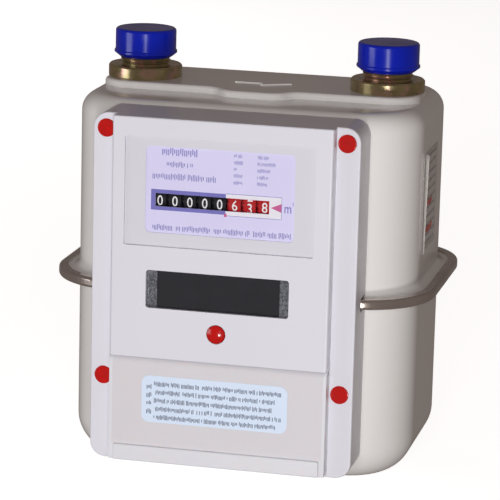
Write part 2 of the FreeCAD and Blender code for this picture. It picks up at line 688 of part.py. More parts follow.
def drive_shaft():
    """Steel shaft from the crank's bevel pair through the gland to the index."""
    rear = bevel_gear(crank_teeth, crank_teeth, crank_module, 2.6, 2.0, phase=180.0 / crank_teeth)
    rear = placed(rear, (crank_x, 0, drive_z), "y")
    front = bevel_gear(pinion_teeth, wheel_teeth, bevel_module, 2.2, 1.5)
    front = placed(front, (crank_x, drum_y, drive_z), "-y")
    shaft = rod(shaft_r, (crank_x, -6.5, drive_z), (crank_x, -71.5, drive_z))
    return fuse(shaft, rear, front)


def shaft_gland():
    """Sealed bush in the case wall that the drive shaft runs through."""
    y = -body_half_y
    profile = [(shaft_r + running_gap, -y - 9), (6.0, -y - 9), (6.0, -y - sheet), (4.0, -y - sheet),
               (4.0, -y + 2.0), (shaft_r + running_gap, -y + 2.0)]
    return turned(profile, (crank_x, 0, drive_z), Vector(0, -1, 0))


def crank():
    """Crank with its bevel gear and disc; its pin stops just short of the link eyes."""
    bevel = bevel_gear(crank_teeth, crank_teeth, crank_module, 2.6, 2.0)
    bevel.translate(Vector(crank_x, 0, drive_z))
    journal = rod(shaft_r, (crank_x, 0, table_top - 4), (crank_x, 0, drive_z - 9))
    post = rod(2.5, (crank_x, 0, drive_z - 9), (crank_x, 0, disc_low + 1))
    disc = rod(crank_radius + 3.5, (crank_x, 0, disc_low), (crank_x, 0, disc_low + 2.4))
    pin = rod(1.6, (crank_pin.x, 0, disc_low + 2), (crank_pin.x, 0, layer_z - 0.4))
    return fuse(bevel, journal, post, disc, pin)


# ---- measuring unit -----------------------------------------------------------------------------

def diagonal(side):
    """Direction from the crank to the link on one side: -1 is the front, 1 the back."""
    return Vector(-math.sqrt(0.5), side * math.sqrt(0.5), 0)


def rod_place(side):
    return Vector(rod_x, side * rod_y, 0)


def arm_end(side):
    """Free end of a rocking arm, at rest with its link pushed outwards by the crank."""
    distance = (crank_centre - rod_place(side)).Length
    lean = math.acos((rod_place(side) - crank_centre).normalize().dot(diagonal(side)))
    return crank_centre + diagonal(side) * (distance * math.cos(lean) + quarter)


def valve_place(side):
    return crank_centre + diagonal(side) * (valve_reach + quarter)


def rest_angle(side):
    """Turn of a flag rod from mid stroke at rest, in degrees about +Z."""
    arm = (crank_centre - rod_place(side)).Length
    lean = math.acos((rod_place(side) - crank_centre).normalize().dot(diagonal(side)))
    return side * math.degrees(math.asin(quarter / (arm * math.sin(lean))))


def disc_shift(side):
    """How far a diaphragm disc stands outwards from mid stroke at rest."""
    return flag_reach * math.sin(math.radians(abs(rest_angle(side))))


def chamber_body():
    """Centre casting: two round chambers back to back with a wall between them."""
    body = rounded_block(-unit_half_x, unit_half_x, -unit_half_y, unit_half_y, unit_bottom, unit_top, 8.0, Y)
    recesses = [rod(chamber_r, (0, side * partition, chamber_z), (0, side * (unit_half_y + 1), chamber_z))
                for side in (-1, 1)]
    journals = [rod(rod_r + running_gap, (rod_x, side * rod_y, 29.5), (rod_x, side * rod_y, unit_top + 1))
                for side in (-1, 1)]
    return cut(body, *(recesses + journals))


def chamber_covers():
    """Two dished covers that clamp the diaphragms to the body."""
    covers = []
    for side in (-1, 1):
        start = unit_half_y + membrane
        y0, y1 = sorted((side * start, side * (start + 2)))
        flange = rounded_block(-unit_half_x, unit_half_x, y0, y1, unit_bottom, unit_top, 8.0, Y)
        crest, ceiling = start + dome_depth, start + dome_depth - cover_sheet
        dome = turned([(0, start), (chamber_r + 2, start), (chamber_r - 7, crest), (0, crest)],
                      (0, 0, chamber_z), Vector(0, side, 0))
        room = turned([(0, start - 1), (chamber_r, start - 1), (chamber_r, start + 0.5),
                       (chamber_r - 8, ceiling), (0, ceiling)], (0, 0, chamber_z), Vector(0, side, 0))
        covers.append(fuse(flange, dome).cut(room))
    return Part.Compound(covers)


def diaphragm(side):
    """Rubberised cloth ring: clamped at its rim, bowed, and held by the disc in the middle."""
    clamp, middle = unit_half_y, unit_half_y + disc_shift(side)
    rim_r, bow_r, hold_r = chamber_r + 3.5, chamber_r - 4, disc_r + 1.0
    bow_mid = Vector((bow_r + hold_r) / 2, 0, max(clamp, middle) + 5.0)

    hold_out, clamp_in = Vector(hold_r, 0, middle), Vector(bow_r, 0, clamp)
    bow = Part.Arc(hold_out, bow_mid, clamp_in).toShape().discretize(membrane_steps)
    line = [Vector(disc_hub_r + 0.3, 0, middle)] + bow + [Vector(rim_r, 0, clamp)]
    lifted = [point + Z * membrane for point in reversed(line)]
    wire = Part.makePolygon(line + lifted + line[:1])
    ring = Part.Face(wire).revolve(Vector(0, 0, 0), Z, 360)
    ring.Placement = Placement(Vector(0, 0, chamber_z), Rotation(Z, Vector(0, side, 0)))
    return ring


def disc(side):
    """Two stiff plates riveted through the middle of a diaphragm, with a lug for the flag."""
    middle, plate = unit_half_y + disc_shift(side), 1.2
    profile = [(0, middle - plate), (disc_r, middle - plate), (disc_r, middle), (disc_hub_r, middle),
               (disc_hub_r, middle + membrane), (disc_r, middle + membrane),
               (disc_r, middle + membrane + plate), (0, middle + membrane + plate)]
    plates = turned(profile, (0, 0, chamber_z), Vector(0, side, 0))
    inner = side * (middle - plate)
    y0, y1 = sorted((inner, inner - side * 2.2))
    return fuse(plates, block(-7, -3, y0, y1, chamber_z - 12, chamber_z + 12))


def flag_rod(side):
    """Upright rod with the flag inside its chamber and the rocking arm above the table."""
    layer = 0 if side < 0 else 1
    arm_z = layer_z + layer * layer_pitch
    centre = rod_place(side)
    upright = rod(rod_r, (centre.x, centre.y, 30), (centre.x, centre.y, arm_z + link_thick))
    plate = block(0, flag_reach - 6.0, -0.8, 0.8, chamber_z - 20, chamber_z + 20)
    lean = side * math.degrees(math.atan2(flag_offset, flag_reach)) + rest_angle(side)
    plate.rotate(Vector(0, 0, 0), Z, lean)
    plate.translate(centre)
    end = arm_end(side)
    arm = link_bar(centre, end, arm_z, 3.6, (0, 0))
    pin_top = layer_z + (2 + layer) * layer_pitch + link_thick
    pin = rod(1.5, (end.x, end.y, arm_z), (end.x, end.y, pin_top))
    return fuse(upright, plate, arm, pin)


def long_link(side):
    layer = 2 if side < 0 else 3
    return link_bar(arm_end(side), crank_pin, layer_z + layer * layer_pitch, 3.0, (1.5 + running_gap, 1.8))


def short_link(side):
    layer = 0 if side < 0 else 1
    eyes = (1.5 + running_gap, 1.8)
    return link_bar(valve_place(side), crank_pin, layer_z + layer * layer_pitch, 3.0, eyes)


def slide_valve(side):
    """D-shaped slide on the ported table, with the post that its short link turns on."""
    half_length, half_width, height = 9.0, 11.0, 6.0
    body = rounded_block(-half_length, half_length, -half_width, half_width, 0, height, 2.0, Z)
    hollow = block(-half_length + 2.5, half_length - 2.5, -half_width + 2.5, half_width - 2.5, -1, height - 2)
    layer = 0 if side < 0 else 1
    post_top = layer_z + layer * layer_pitch + link_thick
    post = rod(1.5, (0, 0, height - 1), (0, 0, post_top - table_top - 0.1))
    valve = fuse(body.cut(hollow), post)
    valve.rotate(Vector(0, 0, 0), Z, math.degrees(math.atan2(diagonal(side).y, diagonal(side).x)))
    valve.translate(valve_place(side) + Z * (table_top + 0.1))
    return valve


def valve_table():
    """Ported plate on top of the chambers; it carries both rods, the crank and the outlet pipe."""
    table = fuse(rounded_block(-unit_half_x, 80, -46, 46, unit_top, table_top, 6.0, Z),
                 block(crank_x - 4, crank_x + 4, -38, -35, unit_top + 1, drive_z + 5))
    holes = [rod(rod_r + running_gap, (rod_x, y, 110), (rod_x, y, 130)) for y in (-rod_y, rod_y)]
    holes.append(rod(shaft_r + running_gap, (crank_x, 0, table_top - 4.5), (crank_x, 0, table_top + 1)))
    holes.append(rod(shaft_r + running_gap, (crank_x, -40, drive_z), (crank_x, -30, drive_z)))
    holes.append(rod(gas_bore_r, (pipe_x, 0, table_top - 4), (pipe_x, 0, table_top + 1)))
    for side in (-1, 1):
        for step in (-1, 0, 1):
            port = block(-1.5, 1.5, -7, 7, 0, 5)
            port.rotate(Vector(0, 0, 0), Z, math.degrees(math.atan2(diagonal(side).y, diagonal(side).x)))
            port.translate(crank_centre + diagonal(side) * (valve_reach + 5.5 * step) + Z * (table_top - 4))
            holes.append(port)
    return cut(table, *holes)


def outlet_pipe():
    """Riser from the table to the tail of the outlet connection, with a flange and a socket."""
    outer_r = gas_bore_r + 1.5
    socket_r = thread_r + 1.8
    return turned([(gas_bore_r, table_top), (outer_r + 3, table_top), (outer_r + 3, table_top + 2),
                   (outer_r, table_top + 2), (outer_r, spigot_tail - 4), (socket_r, spigot_tail - 2),
                   (socket_r, spigot_tail + 6), (thread_r, spigot_tail + 6), (thread_r, spigot_tail),
                   (gas_bore_r, spigot_tail)], (pipe_x, 0, 0))


# ---- shut-off valve -----------------------------------------------------------------------------

def valve_body():
    """Cup screwed on the inlet's tail, with a seat at the top and three windows in its wall."""
    seat_z, collar_top = shutoff_top - 5, shutoff_top + 6
    cup = turned([(0, shutoff_bottom), (shutoff_r, shutoff_bottom), (shutoff_r, shutoff_top),
                  (thread_r + 1.5, shutoff_top), (thread_r + 1.5, collar_top),
                  (thread_r, collar_top), (thread_r, shutoff_top), (8, shutoff_top), (8, seat_z),
                  (shutoff_r - 1.6, seat_z), (shutoff_r - 1.6, shutoff_bottom + 2),
                  (0, shutoff_bottom + 2)], (-pipe_x, 0, 0))
    windows = []
    for turn in (90, 210, 330):
        window = block(6, shutoff_r + 2, -7, 7, shutoff_bottom + 5, seat_z - 2)
        window.rotate(Vector(0, 0, 0), Z, turn)
        window.translate(Vector(-pipe_x, 0, 0))
        windows.append(window)
    screw_hole = rod(2.6, (-pipe_x, 0, shutoff_bottom - 1), (-pipe_x, 0, shutoff_bottom + 3))
    return cut(cup, screw_hole, *windows)


def valve_disc():
    """Rubber faced plunger that the screw lifts against the seat."""
    low = shutoff_top - 5 - shutoff_travel - 4.5
    return turned([(1.5 + running_gap, low - 4), (4, low - 4), (4, low), (12, low), (12, low + 2.5),
                   (9.5, low + 4), (1.5 + running_gap, low + 4)], (-pipe_x, 0, 0))


def valve_screw():
    """Lead screw, as a plain rod of its major diameter, with its drive collar."""
    collar = rod(2.5, (-pipe_x, 0, shutoff_bottom - 1.5), (-pipe_x, 0, shutoff_bottom + 3))
    return fuse(collar, rod(1.5, (-pipe_x, 0, shutoff_bottom), (-pipe_x, 0, shutoff_top - 1)))


def valve_motor():
    """Small sealed motor and gear case under the valve."""
    gearbox = rod(11, (-pipe_x, 0, shutoff_bottom - 8), (-pipe_x, 0, shutoff_bottom))
    can = rod(8, (-pipe_x, 0, shutoff_bottom - 26), (-pipe_x, 0, shutoff_bottom - 8))
    room = rod(2.6, (-pipe_x, 0, shutoff_bottom - 1.9), (-pipe_x, 0, shutoff_bottom + 1))
    return fuse(gearbox, can).cut(room)


# ---- write the sub-parts ------------------------------------------------------------------------

def sub_parts():
    parts = {
        "upper_case": upper_case(), "lower_case": lower_case(),
        "seam_band": seam_band(), "seam_gasket": seam_gasket(),
        "inlet_spigot": spigot(-pipe_x), "outlet_spigot": spigot(pipe_x),
        "inlet_cap": thread_cap(-pipe_x), "outlet_cap": thread_cap(pipe_x),
        "housing_gasket": housing_gasket(), "housing_base": housing_base(),
        "front_cover": front_cover(), "cover_screws": cover_screws(), "seal_plugs": seal_plugs(),
        "index_window": index_window(), "dial_plate": dial_plate(),
        "index_frame": index_frame(), "drum_shaft": drum_shaft(), "carry_pinions": carry_pinions(),
        "input_gear": input_gear(), "drive_shaft": drive_shaft(), "shaft_gland": shaft_gland(),
        "lcd_window": lcd_window(), "lcd_module": lcd_module(), "circuit_board": circuit_board(),
        "display_button": display_button(), "button_spring": button_spring(),
        "battery_tray": battery_tray(), "battery_cells": battery_cells(),
        "battery_contacts": battery_contacts(), "card_reader": card_reader(), "flap": flap(),
        "valve_body": valve_body(), "valve_disc": valve_disc(),
        "valve_screw": valve_screw(), "valve_motor": valve_motor(),
        "chamber_body": chamber_body(), "chamber_covers": chamber_covers(),
        "valve_table": valve_table(), "crank": crank(), "outlet_pipe": outlet_pipe(),
    }
    for number, name in enumerate(drum_names, start=1):
        parts[name] = index_drum(number)
    for side, word in ((-1, "front"), (1, "back")):
        parts[word + "_diaphragm"] = diaphragm(side)
        parts[word + "_disc"] = disc(side)
        parts[word + "_flag_rod"] = flag_rod(side)
        parts[word + "_long_link"] = long_link(side)
        parts[word + "_short_link"] = short_link(side)
        parts[word + "_slide_valve"] = slide_valve(side)
    return parts


os.makedirs("parts", exist_ok=True)
for part_name, part_shape in sub_parts().items():
    part_shape.exportStep("parts/" + part_name + ".step")
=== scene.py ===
"""Card-operated diaphragm gas meter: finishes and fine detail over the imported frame.

Metres, +Z up, -Y towards the reader, origin at the centre of the case's underside.
"""
import math

import bmesh
import bpy
import numpy as np
from mathutils import Matrix, Vector


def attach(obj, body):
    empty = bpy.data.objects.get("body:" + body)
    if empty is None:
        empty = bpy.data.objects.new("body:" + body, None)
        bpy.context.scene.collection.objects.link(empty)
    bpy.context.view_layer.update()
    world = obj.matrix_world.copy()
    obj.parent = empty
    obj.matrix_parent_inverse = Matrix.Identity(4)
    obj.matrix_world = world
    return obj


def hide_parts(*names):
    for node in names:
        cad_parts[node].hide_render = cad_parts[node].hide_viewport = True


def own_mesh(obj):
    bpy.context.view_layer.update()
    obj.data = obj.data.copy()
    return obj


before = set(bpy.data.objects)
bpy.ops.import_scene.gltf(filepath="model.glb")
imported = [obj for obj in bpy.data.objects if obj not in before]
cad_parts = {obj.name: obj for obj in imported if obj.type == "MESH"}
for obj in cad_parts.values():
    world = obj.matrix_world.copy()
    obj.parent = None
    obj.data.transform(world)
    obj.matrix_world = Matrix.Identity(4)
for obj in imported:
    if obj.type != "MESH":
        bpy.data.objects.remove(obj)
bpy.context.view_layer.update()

# ---- Viewpoint ----------------------------------------------------------------------------------
# The meter is seen from a metre and a half away through a long lens, from a little to the right
# and a little above, with the camera tipped by a degree and a half.
MM = 0.001
turn, rise, tip = (math.radians(degrees) for degrees in (12.94, 12.99, 1.46))
aim, distance, lens = Vector((-5.94, 0.0, 105.3)) * MM, 1.524, 206.65
toward = Vector((math.sin(turn) * math.cos(rise), -math.cos(turn) * math.cos(rise), math.sin(rise)))
level = (-toward).cross(Vector((0, 0, 1))).normalized()
upward = level.cross(-toward)
camera_data = bpy.data.cameras.new("viewpoint")
camera_data.lens, camera_data.sensor_width = lens, 36.0
camera = bpy.data.objects.new("viewpoint", camera_data)
camera.matrix_world = Matrix.Translation(aim + toward * distance) @ Matrix((
    level * math.cos(tip) + upward * math.sin(tip),
    upward * math.cos(tip) - level * math.sin(tip), toward)).transposed().to_4x4()
bpy.context.collection.objects.link(camera)
bpy.context.scene.camera = camera

# ---- Studio -------------------------------------------------------------------------------------
# Pale paper under and round the meter, a soft key light and a small bright one from the front, and
# weaker ones from the left and behind in a dim warm room: the front is bright, the sides warm grey.


def linear(code):
    """sRGB hex to linear: a channel over 12.92 when dark, else (channel + 0.055) / 1.055 to the power 2.4."""
    channel = np.array([int(code[start:start + 2], 16) for start in (1, 3, 5)]) / 255
    bright = ((channel + 0.055) / 1.055) ** 2.4
    return (*np.where(channel <= 0.04045, channel / 12.92, bright).tolist(), 1.0)


def add(tree, kind, settings=(), links=()):
    """One node: settings are properties and socket values, links join other nodes' outputs to its inputs."""
    made = tree.nodes.new("ShaderNode" + kind)
    for name, value in dict(settings).items():
        if isinstance(name, int) or name in made.inputs:
            made.inputs[name].default_value = value
        else:
            setattr(made, name, value)
    for name, source in dict(links).items():
        tree.links.new(source, made.inputs[name])
    return made


def soft_light(name, place, size, power, colour):
    """A square area light of a size in metres, turned towards the middle of the meter."""
    lamp = bpy.data.lights.new(name, "AREA")
    lamp.size, lamp.energy, lamp.color = size, power, linear(colour)[:3]
    holder = bpy.data.objects.new(name, lamp)
    holder.location = place
    holder.rotation_euler = (aim - holder.location).to_track_quat("-Z", "Y").to_euler()
    bpy.context.collection.objects.link(holder)
    return holder


soft_light("key", Vector((0.26, -1.5, 0.32)), 0.55, 10.2, "#FFFFFF").visible_glossy = False
soft_light("glint", Vector((0.3, -1.5, -0.22)), 0.16, 6.0, "#FFFFFF")
soft_light("fill", Vector((-1.2, -0.9, 0.1)), 0.6, 3.4, "#F6F9FF")
soft_light("behind", Vector((-1.2, 1.3, 0.2)), 0.6, 7.0, "#FFFFFF").visible_glossy = False

world = bpy.data.worlds.new("studio")
world.use_nodes = True
world.node_tree.nodes["Background"].inputs["Color"].default_value = linear("#A89A93")
world.node_tree.nodes["Background"].inputs["Strength"].default_value = 0.4
bpy.context.scene.world = world
bpy.context.scene.view_settings.view_transform = "Standard"

paper = bpy.data.materials.new("floor_paper")
paper.use_nodes = True
paper.node_tree.nodes["Principled BSDF"].inputs["Base Color"].default_value = linear("#F4F4F4")
paper.node_tree.nodes["Principled BSDF"].inputs["Roughness"].default_value = 0.9
paper.node_tree.nodes["Principled BSDF"].inputs["Emission Color"].default_value = linear("#FFFFFF")
paper.node_tree.nodes["Principled BSDF"].inputs["Emission Strength"].default_value = 0.78


def grid_piece(name, points, around=False, along=False):
    """Mesh over a grid of points: cell (i, j) is the quad of its four corners, and a grid may close on itself
    either way. Doubled points at seams and poles are merged and the faces turned outwards."""
    rows, columns = points.shape[:2]
    i, j = np.meshgrid(np.arange(rows - (not around)), np.arange(columns - (not along)), indexing="ij")
    near, far = (i + 1) % rows, (j + 1) % columns
    quads = np.stack([i * columns + j, near * columns + j, near * columns + far, i * columns + far], axis=-1)
    mesh = bpy.data.meshes.new(name)
    mesh.from_pydata((points.reshape(-1, 3) * MM).tolist(), [], quads.reshape(-1, 4).tolist())
    shell = bmesh.new()
    shell.from_mesh(mesh)
    bmesh.ops.remove_doubles(shell, verts=shell.verts, dist=1e-7)
    bmesh.ops.recalc_face_normals(shell, faces=shell.faces)
    shell.to_mesh(mesh)
    shell.free()
    mesh.shade_smooth()
    piece = bpy.data.objects.new(name, mesh)
    bpy.context.collection.objects.link(piece)
    return piece


# The paper runs flat for 4 m, turns up through a quarter circle and stands as a wall all round.
flat_r, bend_r, wall_top = 4000.0, 1500.0, 6000.0
bend = np.linspace(0.0, np.pi / 2, 12)
sweep_r = np.concatenate([[0.0, flat_r / 2], flat_r + bend_r * np.sin(bend), [flat_r + bend_r]])
sweep_z = np.concatenate([[0.0, 0.0], bend_r * (1 - np.cos(bend)), [wall_top]]) - 0.1
sweep_turn = np.linspace(0.0, 2 * np.pi, 64, endpoint=False)[:, None]
floor = grid_piece("floor", np.stack([sweep_r * np.cos(sweep_turn), sweep_r * np.sin(sweep_turn),
                                      sweep_z + 0 * sweep_turn], axis=-1), around=True)
floor.data.materials.append(paper)
floor.visible_diffuse = floor.visible_glossy = floor.visible_shadow = False

# ---- Pressed steel case -------------------------------------------------------------------------
# Two deep drawn steel pressings, degreased, phosphated and stoved with a thick white enamel that
# keeps a faint orange peel and a hard gloss; the flow arrow is embossed in the top.


def finish(name, colour, grain_mm, relief_mm, roughness, uneven=0.06, shade=0.93, patch_mm=25.0,
           stretch=(1.0, 1.0, 1.0), **shader):
    """A finish over Object coordinates: grain of a real size lifts the surface and spreads its gloss by
    plus or minus uneven, and slow patches darken the colour to shade. The rest is set on the shader."""
    made = bpy.data.materials.new(name)
    made.use_nodes = True
    tree = made.node_tree
    body = tree.nodes["Principled BSDF"]
    body.inputs["Roughness"].default_value = roughness
    for socket, value in shader.items():
        body.inputs[socket.replace("_", " ")].default_value = value
    place = add(tree, "TexCoord")
    run = add(tree, "Mapping", {"Scale": stretch}, {"Vector": place.outputs["Object"]})
    grain = add(tree, "TexNoise", {"Scale": 1 / (grain_mm * MM), "Detail": 3.0},
                {"Vector": run.outputs["Vector"]})
    patch = add(tree, "TexNoise", {"Scale": 1 / (patch_mm * MM), "Detail": 4.0},
                {"Vector": place.outputs["Object"]})
    lift = add(tree, "Bump", {"Strength": 1.0, "Distance": relief_mm * MM}, {"Height": grain.outputs["Fac"]})
    gloss = add(tree, "MapRange", {"From Min": 0.3, "From Max": 0.7, "To Min": roughness - uneven,
                                   "To Max": roughness + uneven}, {"Value": patch.outputs["Fac"]})
    dark = tuple(channel * shade for channel in linear(colour)[:3]) + (1.0,)
    tone = add(tree, "MapRange", {"From Min": 0.35, "From Max": 0.7}, {"Value": patch.outputs["Fac"]})
    tint = add(tree, "Mix", {"data_type": "RGBA", 6: linear(colour), 7: dark}, {0: tone.outputs["Result"]})
    tree.links.new(lift.outputs["Normal"], body.inputs["Normal"])
    tree.links.new(gloss.outputs["Result"], body.inputs["Roughness"])
    tree.links.new(tint.outputs[2], body.inputs["Base Color"])
    return made


def coat(material, *nodes):
    """Gives a material to every slot of some CAD nodes."""
    for node in nodes:
        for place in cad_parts[node].material_slots:
            place.material = material


# Stoved enamel: the peel is 2 mm across and a hundredth of a millimetre high, the gloss sharp enough
# to mirror the collars.
enamel = finish("stoved_white_enamel", "#F3F1EF", 2.2, 0.012, 0.16, uneven=0.04, shade=0.97, patch_mm=60,
                IOR=1.52, Coat_Weight=0.35, Coat_Roughness=0.06)
coat(enamel, "upper_case", "lower_case")

# ---- Rolled seam band ---------------------------------------------------------------------------
# A steel strip rolled round both flanges, browned with oil and lacquer; the rollers leave fine lines
# that run along it.
rolled_strip = finish("rolled_dark_steel_strip", "#B5A8A1", 0.6, 0.01, 0.2, uneven=0.08, shade=0.8,
                      patch_mm=18, stretch=(0.2, 0.2, 3.0), Metallic=0.75, Coat_Weight=0.6,
                      Coat_Roughness=0.08)
coat(rolled_strip, "seam_band")
gasket_rubber = finish("nitrile_rubber_cord", "#151414", 0.4, 0.02, 0.75, Specular_IOR_Level=0.3)
coat(gasket_rubber, "seam_gasket")

# ---- Pipe connections ---------------------------------------------------------------------------
# Free cutting steel turned on a lathe, zinc plated and yellow passivated, brazed into the case.
# The G 3/4 thread is single start, 1.814 mm pitch and 1.16 mm deep, with a relief at its foot.
pipe_x, pipe_foot, pipe_top, bore_r = 65.0, 183.0, 218.5, 10.0
collar_r, collar_foot, collar_top, relief_r = 19.35, 195.9, 202.2, 12.1
thread_pitch, thread_depth, thread_r = 1.814, 1.16, 13.22
thread_foot, thread_head, run_out = 203.6, 217.4, 0.8


def resample(profile, step):
    """Points along a broken line: each run is divided into equal parts no longer than step, and corners are
    kept double so that they stay crisp under smooth shading."""
    corners = np.array(profile, float)
    runs = []
    for start, end in zip(corners[:-1], corners[1:]):
        parts = max(1, int(np.ceil(np.linalg.norm(end - start) / step)))
        blend = np.linspace(0.0, 1.0, parts + 1)[:, None]
        inset = min(0.04 / max(np.linalg.norm(end - start), 0.1), 0.2)
        blend = np.clip(blend, inset, 1 - inset)
        runs.append(start + (end - start) * blend)
    return np.concatenate(runs)


def threaded_connection(name, x):
    """Profile (radius, height) turned about the pipe axis. Between foot and head the radius falls by the
    depth times a triangle wave of height over pitch less angle over a full turn, so that the ridge climbs one
    pitch a turn; the bore, whose radius is under the relief's, stays plain."""
    outline = resample([(bore_r, pipe_foot), (thread_r, pipe_foot), (thread_r, collar_foot),
                        (collar_r, collar_foot), (collar_r, 201.4), (18.6, collar_top),
                        (relief_r, collar_top), (relief_r, 203.0), (13.2, 203.8), (13.2, 217.6),
                        (12.2, pipe_top), (bore_r, pipe_top), (bore_r, pipe_foot)], 0.22)[:-1]
    angle = np.linspace(0.0, 2 * np.pi, 120, endpoint=False)[:, None]
    radius, height = outline[None, :, 0], outline[None, :, 1]
    wave = np.abs(((height / thread_pitch - angle / (2 * np.pi)) % 1.0) * 2 - 1)
    groove = np.clip(1.25 * wave - 0.12, 0.0, 1.0) * thread_depth
    fade = np.clip((height - thread_foot) / run_out, 0, 1) * np.clip((thread_head - height) / run_out, 0, 1)
    radius = radius - np.where(radius > relief_r, groove * fade, 0.0)
    points = np.stack([x + radius * np.cos(angle), radius * np.sin(angle), height + 0 * angle], axis=-1)
    return grid_piece(name, points, around=True, along=True)


def current_tint(material):
    """The output that feeds a finish's base colour."""
    return material.node_tree.nodes["Principled BSDF"].inputs["Base Color"].links[0].from_socket


def retint(material, source):
    """Feeds a finish's base colour from another output."""
    tree = material.node_tree
    tree.links.new(source, tree.nodes["Principled BSDF"].inputs["Base Color"])


# Yellow passivated zinc over turned steel: brassy, with pink films 5 mm across and fine lathe rings
# up its height.
plating = finish("yellow_passivated_zinc_on_turned_steel", "#B6A87C", 0.5, 0.014, 0.22, uneven=0.07,
                 shade=0.72, patch_mm=7, stretch=(0.25, 0.25, 2.0), Metallic=0.9)
films = plating.node_tree
film = add(films, "TexNoise", {"Scale": 1 / (5.0 * MM), "Detail": 2.0},
           {"Vector": add(films, "TexCoord").outputs["Object"]})
film_share = add(films, "MapRange", {"From Min": 0.5, "From Max": 0.66}, {"Value": film.outputs["Fac"]})
film_tint = add(films, "Mix", {"data_type": "RGBA", 7: linear("#C8A48E")},
                {0: film_share.outputs["Result"], 6: current_tint(plating)})
retint(plating, film_tint.outputs[2])
for side, node in ((-1, "inlet_spigot"), (1, "outlet_spigot")):
    connection = threaded_connection(node + "_threaded", side * pipe_x)
    connection.data.materials.append(plating)
    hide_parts(node)
    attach(connection, "meter_case")

# ---- Thread caps --------------------------------------------------------------------------------
# Blue low density polyethylene, injection moulded and pushed over the threads for transport: waxy,
# glossy, with faint flow lines up the skirt.
cap_plastic = finish("blue_polyethylene_moulding", "#001DB0", 1.6, 0.008, 0.2, uneven=0.06, shade=0.85,
                     patch_mm=12, stretch=(1.5, 1.5, 0.3), IOR=1.51)
coat(cap_plastic, "inlet_cap", "outlet_cap")

# ---- Front housing ------------------------------------------------------------------------------
# White ABS moulded in one piece with side strips and a raised panel; the tool is spark eroded, so
# the skin has a grain of a third of a millimetre. A dark foam strip seals it to the case.
abs_skin = finish("white_moulded_abs", "#E2E1EA", 0.35, 0.006, 0.33, uneven=0.05, shade=0.97, patch_mm=45,
                  IOR=1.54)
coat(abs_skin, "front_cover")
foam = finish("black_cellular_rubber_foam", "#1B1A19", 0.5, 0.08, 0.9, Specular_IOR_Level=0.2)
coat(foam, "housing_gasket")
grey_moulding = finish("grey_moulded_abs", "#8E8E90", 0.4, 0.01, 0.45, IOR=1.54)
coat(grey_moulding, "housing_base", "battery_tray")

# ---- Cover screws and tamper seals --------------------------------------------------------------
# Four zinc plated pan head screws, each hidden by a red polystyrene plug that has to be broken to
# get at it; the plugs are polished mouldings with a slightly sunk face.
screw_steel = finish("bright_zinc_plated_steel", "#B9BABD", 0.3, 0.01, 0.28, uneven=0.08, shade=0.8,
                     patch_mm=4, Metallic=1.0)
coat(screw_steel, "cover_screws")
plug_plastic = finish("red_polished_polystyrene", "#C3110F", 0.8, 0.01, 0.18, uneven=0.05, shade=0.82,
                      patch_mm=3, IOR=1.59)
coat(plug_plastic, "seal_plugs", "display_button")

# ---- Windows ------------------------------------------------------------------------------------
# Clear polycarbonate plates, 1.2 mm over the index and 1 mm over the display, polished in the tool
# and lightly rubbed by handling.
clear_plate = finish("clear_polycarbonate_plate", "#4C4C58", 3.0, 0.002, 0.05, uneven=0.03, shade=0.99,
                     patch_mm=15, IOR=1.585, Alpha=0.02)
coat(clear_plate, "index_window")
smoked_plate = finish("smoked_polycarbonate_plate", "#34353B", 3.0, 0.002, 0.06, uneven=0.03, shade=0.9,
                      patch_mm=15, IOR=1.585, Alpha=0.18)
coat(smoked_plate, "lcd_window")

# ---- Dial ---------------------------------------------------------------------------------------
# A lilac coated card behind the window, screen printed in violet, with a slot in front of the
# drums: a violet frame round the whole units, a white one with a pink pointer round the fractions.
card = finish("lilac_coated_card", "#E2DEFF", 0.25, 0.004, 0.55, shade=0.97, patch_mm=30,
              Specular_IOR_Level=0.3)
coat(card, "dial_plate")
card_y, ink = -91.1, 0.04


def ink_blocks(name, areas, front, material, deep=ink):
    """Flat areas of print as shallow boxes: rows of (x0, x1, z0, z1), each with eight corners at the sheet's
    face and a film's thickness in front of it, all worked out as one array."""
    areas = np.array(areas, float)
    pick = np.array([(a, b, c) for a in (0, 1) for b in (0, 1) for c in (2, 3)])
    corners = np.stack([areas[:, pick[:, 0]], front - deep * pick[None, :, 1] + 0 * areas[:, :1],
                        areas[:, pick[:, 2]]], axis=-1)
    faces = np.array([(0, 1, 3, 2), (4, 6, 7, 5), (0, 4, 5, 1), (2, 3, 7, 6), (0, 2, 6, 4), (1, 5, 7, 3)])
    quads = (np.arange(len(areas))[:, None, None] * 8 + faces[None]).reshape(-1, 4)
    mesh = bpy.data.meshes.new(name)
    mesh.from_pydata((corners.reshape(-1, 3) * MM).tolist(), [], quads.tolist())
    solid = bmesh.new()
    solid.from_mesh(mesh)
    bmesh.ops.recalc_face_normals(solid, faces=solid.faces)
    solid.to_mesh(mesh)
    solid.free()
    piece = bpy.data.objects.new(name, mesh)
    mesh.materials.append(material)
    bpy.context.collection.objects.link(piece)
    return piece


chance = np.random.default_rng(5)
tick_step, tick_width = 0.27, 0.13


def mark_row(x0, x1, z0, z1, gaps=0.13):
    """A row of fine upright ticks that stands for a line of print: their step and width are shares of the
    row's height, their heights are drawn by chance between half and the whole of it, and a share of them is
    left out to part the words."""
    tall = z1 - z0
    start = np.arange(x0, x1 - 0.1 * tall, tick_step * tall)
    start = start[chance.random(len(start)) > gaps]
    low = z0 + tall * chance.choice([0.0, 0.0, 0.25], len(start))
    high = z1 - tall * chance.choice([0.0, 0.2, 0.2], len(start))
    return np.stack([start, start + tick_width * tall, low, high], axis=-1)


